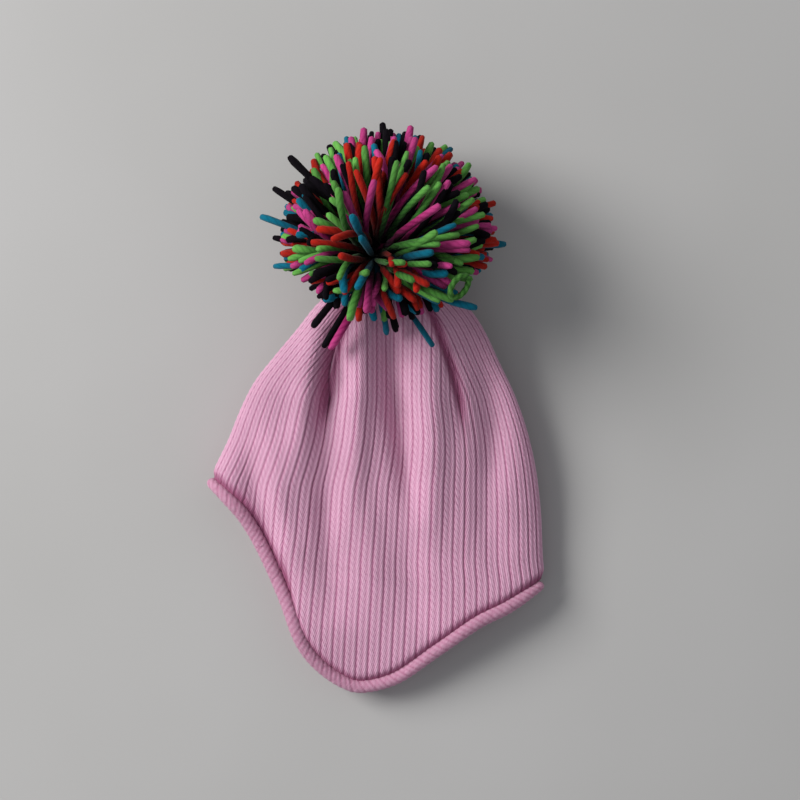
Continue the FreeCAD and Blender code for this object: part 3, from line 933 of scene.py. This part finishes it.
tips, lean = ball_ends(STRANDS)
over_hat = tips[:, 1] > OVER_HAT
near_top = height(tips[:, 0], np.maximum(tips[:, 1], 5.0), 1)
buried = over_hat & (tips[:, 2] < near_top + CLEAR_OF_KNIT)
under_hat = over_hat & (lean > STEEP)
held_back = buried | under_hat
aside = np.clip((-tips[:, 0] - ASIDE_FROM) / ASIDE_WIDTH, 0.0, 1.0)
held_drop = HELD_AT + COME_DOWN * aside + 3.0 * np.sin(7.0 * np.arange(len(tips)))
tips[:, 1] = np.where(held_back, held_drop, tips[:, 1])
tips[:, 2] = np.maximum(tips[:, 2], STRAND + FLOOR_GAP + rng.uniform(0.0, 3.0, len(tips)))
bends = ball_bends(tips, lean)
bends[:, 1] = np.where(lean > BEND_LEAN, np.minimum(bends[:, 1], BEND_AT), bends[:, 1])
drawn = rng.uniform(0.0, 1.0, len(tips))
shares = np.where((lean < 1.5)[:, None], np.cumsum(OUTER_SHARES), np.cumsum(INNER_SHARES))
colour_of = np.minimum((drawn[:, None] > shares).sum(axis=1), len(COLOURS) - 1)
print("strands that end against the crown", int(held_back.sum()), "of", len(tips))

# strands that stand out of the ball or lie over the hat: colour, end, and the bend
STRAYS = [
    ("teal", (-75.0, -28.0, 62.0), (-40.0, -14.0, 88.0)),
    ("black", (-58.0, -63.0, 64.0), (-30.0, -34.0, 92.0)),
    ("black", (-67.6, -44.9, 60.0), (-38.0, -24.0, 86.0)),
    ("black", (-67.6, -15.4, 62.0), (-36.0, -8.0, 88.0)),
    ("teal", (-67.6, 1.2, 56.0), (-34.0, 2.0, 84.0)),
    ("teal", (-0.6, 41.2, 56.0), (-2.0, 30.0, 82.0)),
    ("black", (4.9, 39.4, 57.0), (2.0, 26.0, 84.0)),
    ("teal", (27.0, 48.6, 56.0), (10.0, 26.0, 84.0)),
    ("black", (-38.1, 49.2, 57.0), (-20.0, 22.0, 88.0)),
    ("pink", (-34.0, 50.0, 58.0), (-16.0, 26.0, 90.0)),
    ("black", (-44.3, 36.9, 57.0), (-30.0, 20.0, 84.0)),
    ("teal", (-14.8, -11.1, 118.0), (-9.0, -4.0, 88.0)),
    ("teal", (-20.0, -24.0, 112.0), (-11.0, -6.0, 92.0)),
    ("green", (-28.0, -40.0, 108.0), (-26.0, -8.0, 108.0)),
    ("green", (10.0, 2.5, 110.0), (-8.0, 3.0, 112.0)),
    ("red", (11.0, 3.0, 108.0), (0.0, 5.0, 104.0)),
    ("green", (25.0, 3.0, 106.0), (8.0, 4.0, 110.0)),
    ("teal", (52.0, 27.0, 80.0), (20.0, 22.0, 100.0)),
    ("green", (38.0, 23.0, 88.0), (14.0, 16.0, 106.0)),
    ("pink", (-12.0, 30.0, 92.0), (-10.0, 12.0, 106.0)),
    ("green", (-22.0, 34.0, 84.0), (-16.0, 12.0, 106.0)),
    ("red", (4.0, 33.0, 84.0), (-6.0, 14.0, 106.0)),
]
tips = np.concatenate([tips, np.array([s[1] for s in STRAYS])])
bends = np.concatenate([bends, np.array([s[2] for s in STRAYS])])
colour_of = np.concatenate([colour_of, [COLOURS.index(s[0]) for s in STRAYS]])

RINGS = 7
SIDES = 6
ROOT_SHARE = 0.08
FIRST_T = 0.16
UNEVEN = 0.05


def strand_mesh(name, ends, bends):
    """Tubes along curves with one bend each: start (1-t)^2, bend 2t(1-t), end t^2, for t from 0.16 to 1."""
    count = len(ends)
    t = np.append(np.linspace(FIRST_T, 0.95, RINGS - 1), 1.0)[None, :, None]
    begin = TIE + ROOT_SHARE * (ends - TIE)
    path = begin[:, None] * (1 - t) ** 2 + 2 * bends[:, None] * t * (1 - t) + ends[:, None] * t ** 2
    along = unit(np.gradient(path, axis=1))
    helper = np.where(np.abs(along[..., 2:3]) > 0.85, np.array([1.0, 0.0, 0.0]), np.array([0.0, 0.0, 1.0]))
    up = unit(np.cross(helper, along))
    beside = np.cross(along, up)
    thick = STRAND * rng.uniform(0.80, 1.12, (count, 1))
    swell = np.interp(t[..., 0], [0.2, 0.45, 0.85, 0.94, 1.0], [0.7, 0.92, 1.0, 1.08, 0.80])
    turn = np.linspace(0.0, 2.0 * math.pi, SIDES, endpoint=False)
    spoke = np.cos(turn)[:, None] * up[:, :, None] + np.sin(turn)[:, None] * beside[:, :, None]
    uneven = 1.0 + rng.normal(0.0, UNEVEN, (count, RINGS, SIDES))
    skin = path[:, :, None] + spoke * (thick * swell)[:, :, None, None] * uneven[..., None]
    tip = path[:, -1] + along[:, -1] * thick * 0.5
    root = path[:, 0]
    block = RINGS * SIDES + 2
    corners = np.concatenate([skin.reshape(count, -1, 3), tip[:, None], root[:, None]], axis=1)
    sides, number, after = ring_faces(RINGS, SIDES)
    lid = fan(number[-1], after[-1], RINGS * SIDES)
    foot = fan(after[0], number[0], RINGS * SIDES + 1)
    one = np.concatenate([sides, lid, foot])
    faces = (one[None] + (np.arange(count) * block)[:, None, None]).reshape(-1, 4)
    length = np.linalg.norm(ends - begin, axis=1)
    v = (t[..., 0] * length[:, None])[:, :, None] + np.zeros((count, RINGS, SIDES))
    u = np.broadcast_to(turn / (2.0 * math.pi), (count, RINGS, SIDES))
    uv = np.stack([u, v], axis=-1).reshape(count, -1, 2)
    middle = np.full(count, 0.5)
    caps = np.stack([np.stack([middle, length], -1), np.stack([middle, length * 0.2], -1)], axis=1)
    uv = np.concatenate([uv, caps], axis=1).reshape(-1, 2)
    # painted shade: a strand is near black by the tie, deep in the ball, and lit towards its cut end; end cap
    # 0.8, root cap 0.1
    light = np.interp(t[..., 0], [FIRST_T, 0.4, 0.7, 0.97], [0.0, 0.10, 0.52, 1.0])
    shade = np.broadcast_to(light[:, :, None], (count, RINGS, SIDES)).reshape(count, -1)
    shade = np.concatenate([shade, np.full((count, 1), 0.8), np.full((count, 1), 0.1)], axis=1).ravel()
    tone = np.repeat(rng.uniform(0.0, 1.0, count), block)
    piece = new_piece(name, placed(corners.reshape(-1, 3)), faces, uv, shade, tone)
    return check_outward(piece)


strand_pieces = {}
for number, colour in enumerate(COLOURS):
    chosen = colour_of == number
    name = "pom_" + colour + "_yarn"
    strand_pieces[colour] = strand_mesh(name, tips[chosen], bends[chosen])
    print(name, "strands", int(chosen.sum()))

# %% [markdown]
# ## The uncut loop
#
# One green strand was missed by the scissors, and its loop stays closed. It is a ring on the near side of the
# ball, a little out of round, with the same yarn.

# %% Uncut loop
LOOP_POINTS = 41
LOOP_RADIUS = 6.4
LOOP_YARN = 1.8


def uncut_loop():
    """Closed ring about the middle of its plain solid: a circle that swells twice in a turn, is flattened one
    way, and waves a little out of its plane."""
    low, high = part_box("uncut_green_loop")
    centre = (np.array((low + high) / 2.0) - CROWN) / MM
    centre[1] *= -1.0
    out = unit(centre - POM_MIDDLE)
    side_way = unit(np.cross(out, [0.0, 0.0, 1.0]))
    up_way = np.cross(out, side_way)
    turn = np.linspace(0.0, 2.0 * math.pi, LOOP_POINTS)
    wide = LOOP_RADIUS + 0.8 * np.cos(2.0 * turn)
    path = centre + side_way * (np.cos(turn) * wide)[:, None] + up_way * (np.sin(turn) * wide * 0.85)[:, None]
    path = path + out * (1.2 * np.sin(turn))[:, None]
    return tube("uncut_green_loop_yarn", path, LOOP_YARN, 9.0, np.tile(out, (LOOP_POINTS, 1)), around=10,
                knitted=False)


loop_piece = uncut_loop()

# %% [markdown]
# ## Wool, as node groups
#
# Two effects are shared by every yarn. `ply twist` draws the slanting plies of a twisted yarn from the
# stitch map, and `wool fuzz` breaks every colour up with fine fibres and slow changes of dye. Both put out
# only values, so each material decides what they do.

# %% Node groups


def new_group(name, inputs, outputs):
    """Empty shader node group with float sockets, or a vector socket called Vector."""
    group = bpy.data.node_groups.new(name, "ShaderNodeTree")
    for label, value in inputs:
        kind = "NodeSocketVector" if label == "Vector" else "NodeSocketFloat"
        socket = group.interface.new_socket(label, in_out="INPUT", socket_type=kind)
        if label != "Vector":
            socket.default_value = value
    for label in outputs:
        group.interface.new_socket(label, in_out="OUTPUT", socket_type="NodeSocketFloat")
    return group, group.nodes.new("NodeGroupInput"), group.nodes.new("NodeGroupOutput")


def maths(nodes, links, kind, a, b=None, c=None, clamp=False):
    """Math node; each argument is a number or an output socket."""
    node = nodes.new("ShaderNodeMath")
    node.operation = kind
    node.use_clamp = clamp
    for slot, value in zip(node.inputs, (a, b, c)):
        if value is None:
            continue
        if isinstance(value, (int, float)):
            slot.default_value = value
        else:
            links.new(value, slot)
    return node.outputs[0]


def ply_twist_group():
    """Plies: |sin(pi (plies u + v / pitch))|, rounded like a rope, from the map's u and v."""
    group, source, result = new_group("ply twist", [("Vector", None), ("Across", 2.0), ("Along", 2.0)],
                                      ["Height"])
    n, k = group.nodes, group.links
    split = n.new("ShaderNodeSeparateXYZ")
    k.new(source.outputs["Vector"], split.inputs[0])
    u = maths(n, k, "MULTIPLY", split.outputs[0], source.outputs["Across"])
    v = maths(n, k, "MULTIPLY", split.outputs[1], source.outputs["Along"])
    turn = maths(n, k, "MULTIPLY", maths(n, k, "ADD", u, v), math.pi)
    wave = maths(n, k, "ABSOLUTE", maths(n, k, "SINE", turn))
    k.new(maths(n, k, "POWER", wave, 0.6), result.inputs["Height"])
    return group


def wool_fuzz_group():
    """Fine fibres from a stretched noise, and slow dye changes from a wide one, both 0 to 1."""
    group, source, result = new_group("wool fuzz", [("Vector", None), ("Fibre Scale", 900.0),
                                                    ("Dye Scale", 22.0)], ["Fibre", "Dye"])
    n, k = group.nodes, group.links
    for label, scale, detail, rough in (("Fibre", "Fibre Scale", 4.0, 0.75), ("Dye", "Dye Scale", 3.0, 0.5)):
        noise = n.new("ShaderNodeTexNoise")
        noise.inputs["Detail"].default_value = detail
        noise.inputs["Roughness"].default_value = rough
        k.new(source.outputs["Vector"], noise.inputs["Vector"])
        k.new(source.outputs[scale], noise.inputs["Scale"])
        k.new(maths(n, k, "MULTIPLY_ADD", noise.outputs[0], 2.2, -0.6, True), result.inputs[label])
    return group


PLY = ply_twist_group()
FUZZ = wool_fuzz_group()

# %% [markdown]
# ## Knitted wool and cut yarn
#
# In the grooves between stitches the colour is painted darker and redder, a painted shade for the light that
# has passed through the wool to reach them. The colour runs through three tones by the depth that each piece
# carries in its shade attribute, from painted shade in a groove to the lit top. Wool has no gloss, only the
# pale halo of its fibres, which the sheen gives.

# %% Materials


def srgb(r, g, b):
    """Display colour out of 255 to linear."""
    c = np.array([r, g, b]) / 255.0
    c = np.where(c <= 0.04045, c / 12.92, ((c + 0.055) / 1.055) ** 2.4)
    return (float(c[0]), float(c[1]), float(c[2]), 1.0)


def ramp(nodes, links, value, stops):
    """Colour for a value, blended between stops of (position, colour)."""
    node = nodes.new("ShaderNodeValToRGB")
    links.new(value, node.inputs[0])
    bar = node.color_ramp
    while len(bar.elements) < len(stops):
        bar.elements.new(0.5)
    for element, (at, colour) in zip(bar.elements, stops):
        element.position = at
        element.color = colour
    return node.outputs[0]


def mix(nodes, links, kind, factor, a, b):
    """Colour mix node; the factor and both colours are values or output sockets."""
    node = nodes.new("ShaderNodeMix")
    node.data_type = "RGBA"
    node.blend_type = kind
    for slot, value in ((node.inputs[0], factor), (node.inputs[6], a), (node.inputs[7], b)):
        if hasattr(value, "is_output"):
            links.new(value, slot)
        else:
            slot.default_value = value
    return node.outputs[2]


FIBRE_SCALE = 900.0
DYE = 0.10
PALE_SHEEN = (1.0, 0.9, 0.95, 1.0)


def wool(name, stops, twist, bump=0.0004, fuzz=0.0003, sheen=0.25, sheen_tint=PALE_SHEEN, mapped=True,
         spread=0.0):
    """Wool material. stops run from the painted shade of the deepest groove to the lit top; spread is how
    much strands differ.
    """
    material = bpy.data.materials.new(name)
    material.use_nodes = True
    n, k = material.node_tree.nodes, material.node_tree.links
    shader = n["Principled BSDF"]
    place = n.new("ShaderNodeTexCoord")
    fibres = n.new("ShaderNodeGroup")
    fibres.node_tree = FUZZ
    fibres.inputs["Fibre Scale"].default_value = FIBRE_SCALE
    k.new(place.outputs["Object"], fibres.inputs["Vector"])
    plies = n.new("ShaderNodeGroup")
    plies.node_tree = PLY
    plies.inputs["Across"].default_value = twist[0]
    plies.inputs["Along"].default_value = twist[1]
    if mapped:
        k.new(place.outputs["UV"], plies.inputs["Vector"])
        # the shade attribute is painted shade: low in the grooves, high on the lit tops
        shade_node = n.new("ShaderNodeAttribute")
        shade_node.attribute_name = "shade"
        depth = shade_node.outputs["Fac"]
    else:
        k.new(place.outputs["Object"], plies.inputs["Vector"])
        # without a map, the plies' height is painted shade: darker between the plies
        depth = maths(n, k, "MULTIPLY_ADD", plies.outputs["Height"], 0.5, 0.45)
    # painted shade between the plies of the yarn, added to the colour's value
    ply_shade = maths(n, k, "MULTIPLY_ADD", plies.outputs["Height"], 0.22, -0.16)
    value = maths(n, k, "ADD", depth, ply_shade)
    rough_value = maths(n, k, "MULTIPLY_ADD", fibres.outputs["Fibre"], 0.16, -0.08)
    value = maths(n, k, "ADD", value, rough_value, clamp=True)
    colour = ramp(n, k, value, stops)
    tone = maths(n, k, "MULTIPLY_ADD", fibres.outputs["Dye"], 2.0 * DYE, 1.0 - DYE)
    if spread > 0.0:
        own = n.new("ShaderNodeAttribute")
        own.attribute_name = "tone"
        tone = maths(n, k, "MULTIPLY", tone,
                     maths(n, k, "MULTIPLY_ADD", own.outputs["Fac"], 2.0 * spread, 1.0 - spread))
    scale = n.new("ShaderNodeCombineColor")
    for slot in scale.inputs[:3]:
        k.new(tone, slot)
    colour = mix(n, k, "MULTIPLY", 1.0, colour, scale.outputs[0])
    k.new(colour, shader.inputs["Base Color"])
    shader.inputs["Roughness"].default_value = 0.92
    shader.inputs["Specular IOR Level"].default_value = 0.08
    shader.inputs["Sheen Weight"].default_value = sheen
    shader.inputs["Sheen Roughness"].default_value = 0.55
    shader.inputs["Sheen Tint"].default_value = sheen_tint
    first = n.new("ShaderNodeBump")
    first.inputs["Distance"].default_value = bump
    first.inputs["Strength"].default_value = 0.8
    k.new(plies.outputs["Height"], first.inputs["Height"])
    second = n.new("ShaderNodeBump")
    second.inputs["Distance"].default_value = fuzz
    second.inputs["Strength"].default_value = 0.7
    k.new(fibres.outputs["Fibre"], second.inputs["Height"])
    k.new(first.outputs[0], second.inputs["Normal"])
    k.new(second.outputs[0], shader.inputs["Normal"])
    return material


# each ramp runs from the painted shade of the deepest groove to the lit top of the yarn
PINK_STOPS = [(0.0, srgb(140, 62, 98)), (0.36, srgb(168, 94, 132)), (0.64, srgb(204, 142, 174)),
              (1.0, srgb(228, 180, 206))]
EDGE_STOPS = [(0.0, srgb(132, 50, 86)), (0.30, srgb(158, 80, 116)), (0.60, srgb(190, 122, 154)),
              (1.0, srgb(214, 160, 187))]
SEAM_STOPS = [(0.0, srgb(84, 22, 50)), (0.5, srgb(140, 66, 104)), (1.0, srgb(178, 110, 150))]

materials = {
    "pink_knit": wool("pink knit", PINK_STOPS, twist=(6.0, 1.0)),
    "pink_edging_knit": wool("pink edging", EDGE_STOPS, twist=(6.0, 1.0)),
    "pink_seam_yarn": wool("pink seam yarn", SEAM_STOPS, twist=(1.0, 2.0)),
}
# each ramp runs from painted shade by the tie, nearly black, to the lit colour at the cut end
YARN_STOPS = {
    "pink": [(0.0, srgb(30, 3, 16)), (0.5, srgb(122, 18, 74)), (1.0, srgb(184, 62, 126))],
    "red": [(0.0, srgb(30, 2, 3)), (0.5, srgb(118, 12, 9)), (1.0, srgb(172, 32, 20))],
    "green": [(0.0, srgb(10, 26, 8)), (0.5, srgb(50, 102, 38)), (1.0, srgb(92, 156, 70))],
    "teal": [(0.0, srgb(0, 14, 22)), (0.5, srgb(0, 62, 82)), (1.0, srgb(2, 98, 122))],
    "black": [(0.0, srgb(1, 1, 1)), (0.5, srgb(4, 2, 5)), (1.0, srgb(11, 7, 13))],
}
YARN_SHEEN = {"pink": (1.0, 0.7, 0.9, 1.0), "red": (1.0, 0.7, 0.65, 1.0), "green": (0.85, 1.0, 0.8, 1.0),
              "teal": (0.7, 0.95, 1.0, 1.0), "black": (0.7, 0.6, 0.75, 1.0)}
for colour, stops in YARN_STOPS.items():
    materials[colour + "_strand_yarn"] = wool(colour + " cut yarn", stops, twist=(3.0, 0.20), bump=0.0002,
                                              sheen=0.0 if colour == "black" else 0.08,
                                              sheen_tint=YARN_SHEEN[colour], spread=0.24)
materials["black_tie_yarn"] = wool("black tie yarn", YARN_STOPS["black"], twist=(900.0, 500.0),
                                   bump=0.0003, mapped=False, sheen=0.15, sheen_tint=YARN_SHEEN["black"])
plain_pink = wool("pink yarn ends", SEAM_STOPS, twist=(900.0, 500.0), bump=0.0003, mapped=False)
print(len(materials), "materials")

# %% [markdown]
# ## What moves with what
#
# The fabric rides on the hat, and the uncut loop on the pom pom. The ear flaps' knit and rolled edges, and the
# strands of the pom pom, ride on no body and stay where they are in the frame.

# %% Bodies and replaced nodes


def dress(piece, material, slot_name, *nodes):
    """Gives a piece its material and hides the nodes it stands for; slot_name is not used."""
    piece.data.materials.clear()
    piece.data.materials.append(material)
    if nodes:
        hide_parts(*nodes)


WEARS = {"front_gore_knit": "front_gore", "near_side_gore_knit": "near_side_gore",
         "far_side_gore_knit": "far_side_gore", "near_back_gore_knit": "near_back_gore",
         "far_back_gore_knit": "far_back_gore", "crown_tip_knit": "crown_tip"}
for name, node in WEARS.items():
    dress(fabric_pieces[name], materials["pink_knit"], "pink_knit", node)
    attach(fabric_pieces[name], "hat")
for name, node in (("forehead_rim_roll", "forehead_rim_band"), ("back_rim_roll", "back_rim_band")):
    dress(edge_pieces[name], materials["pink_edging_knit"], "pink_edging_knit", node)
    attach(edge_pieces[name], "hat")
for name, piece in seam_pieces.items():
    node = "back_seam" if name == "back_seam_yarn" else name.replace("_yarn", "_seam")
    dress(piece, materials["pink_seam_yarn"], "pink_seam_yarn", node)
    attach(piece, "hat")

# the way along the ear flaps' fold line; the knit and rolled edge of each flap keep their place in the frame
FOLD_WAY = FOLD_B - FOLD_A
FOLD_WAY /= np.linalg.norm(FOLD_WAY)
for word, z in (("near", 28.0), ("far", 1.0)):
    flap = fabric_pieces[word + "_ear_flap_knit"]
    dress(flap, materials["pink_knit"], "pink_knit", word + "_ear_flap")
    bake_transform(flap)
    roll = edge_pieces[word + "_flap_rim_roll"]
    dress(roll, materials["pink_edging_knit"], "pink_edging_knit", word + "_flap_rim_band")
    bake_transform(roll)

for colour, piece in strand_pieces.items():
    dress(piece, materials[colour + "_strand_yarn"], colour + "_strand_yarn", "pom_" + colour + "_strands")
    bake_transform(piece)
dress(loop_piece, materials["green_strand_yarn"], "green_strand_yarn", "uncut_green_loop")
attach(loop_piece, "pom_pom")

CARRIED = {"crown_gather_yarn": plain_pink, "inside_knot": materials["black_tie_yarn"],
           "knot_tails": materials["black_tie_yarn"], "anchor_stitch": materials["black_tie_yarn"],
           "hanging_loop": materials["black_tie_yarn"], "pom_centre_tie": materials["black_tie_yarn"]}
for node, material in CARRIED.items():
    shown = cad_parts[node]
    shown.data.materials.clear()
    shown.data.materials.append(material)

# %% [markdown]
# ## Floor, light and camera
#
# The hat lies on a pale surface and is seen from straight above. A large soft light stands on the forehead's
# side, a little towards the pom pom, so the shadows fall to the back of the hat, and a pale sky fills them.

# %% Stage
FLOOR_REACH = 30
SENSOR = 36.0


def stage_floor():
    """Plain pale square, wide enough to have no edge in view."""
    mesh = bpy.data.meshes.new("floor")
    far = FLOOR_REACH
    mesh.from_pydata([(-far, -far, 0), (far, -far, 0), (far, far, 0), (-far, far, 0)], [], [(0, 1, 2, 3)])
    piece = in_scene("floor", mesh)
    material = bpy.data.materials.new("pale floor")
    material.use_nodes = True
    n, k = material.node_tree.nodes, material.node_tree.links
    place = n.new("ShaderNodeTexCoord")
    fibres = n.new("ShaderNodeGroup")
    fibres.node_tree = FUZZ
    fibres.inputs["Fibre Scale"].default_value = 260.0
    fibres.inputs["Dye Scale"].default_value = 3.0
    k.new(place.outputs["Object"], fibres.inputs["Vector"])
    tone = ramp(n, k, fibres.outputs["Dye"], [(0.0, srgb(176, 175, 173)), (1.0, srgb(184, 183, 182))])
    k.new(tone, n["Principled BSDF"].inputs["Base Color"])
    n["Principled BSDF"].inputs["Roughness"].default_value = 0.85
    mesh.materials.append(material)


def soft_light(name, where, target, size, watts, colour):
    """Square area light that faces its target."""
    data = bpy.data.lights.new(name, "AREA")
    data.shape = "SQUARE"
    data.size = size
    data.energy = watts
    data.color = colour
    lamp = in_scene(name, data)
    lamp.location = where
    lamp.rotation_euler = (Vector(target) - Vector(where)).to_track_quat("-Z", "Y").to_euler()


stage_floor()
soft_light("window", (-1.85, 0.8, 1.5), (0.0, 0.0, 0.0), 1.3, 70.0, (1.0, 0.99, 0.975))
sky = bpy.data.worlds.new("pale room")
sky.use_nodes = True
sky.node_tree.nodes["Background"].inputs["Color"].default_value = (0.93, 0.95, 1.0, 1.0)
sky.node_tree.nodes["Background"].inputs["Strength"].default_value = 0.36
bpy.context.scene.world = sky
bpy.context.scene.view_settings.view_transform = "Standard"

# focal length: sensor width times the distance to the hat's middle height, over the width seen there
CAMERA_RISE = 1.30
HAT_MIDDLE = 0.02
SEEN_WIDTH = 0.492
lens = bpy.data.cameras.new("overhead")
lens.sensor_width = SENSOR
lens.lens = SENSOR * (CAMERA_RISE - HAT_MIDDLE) / SEEN_WIDTH
camera = in_scene("overhead", lens)
camera.location = (0.0146, 0.0101, CAMERA_RISE)
camera.rotation_euler = (0.0, 0.0, 0.0)
bpy.context.scene.camera = camera
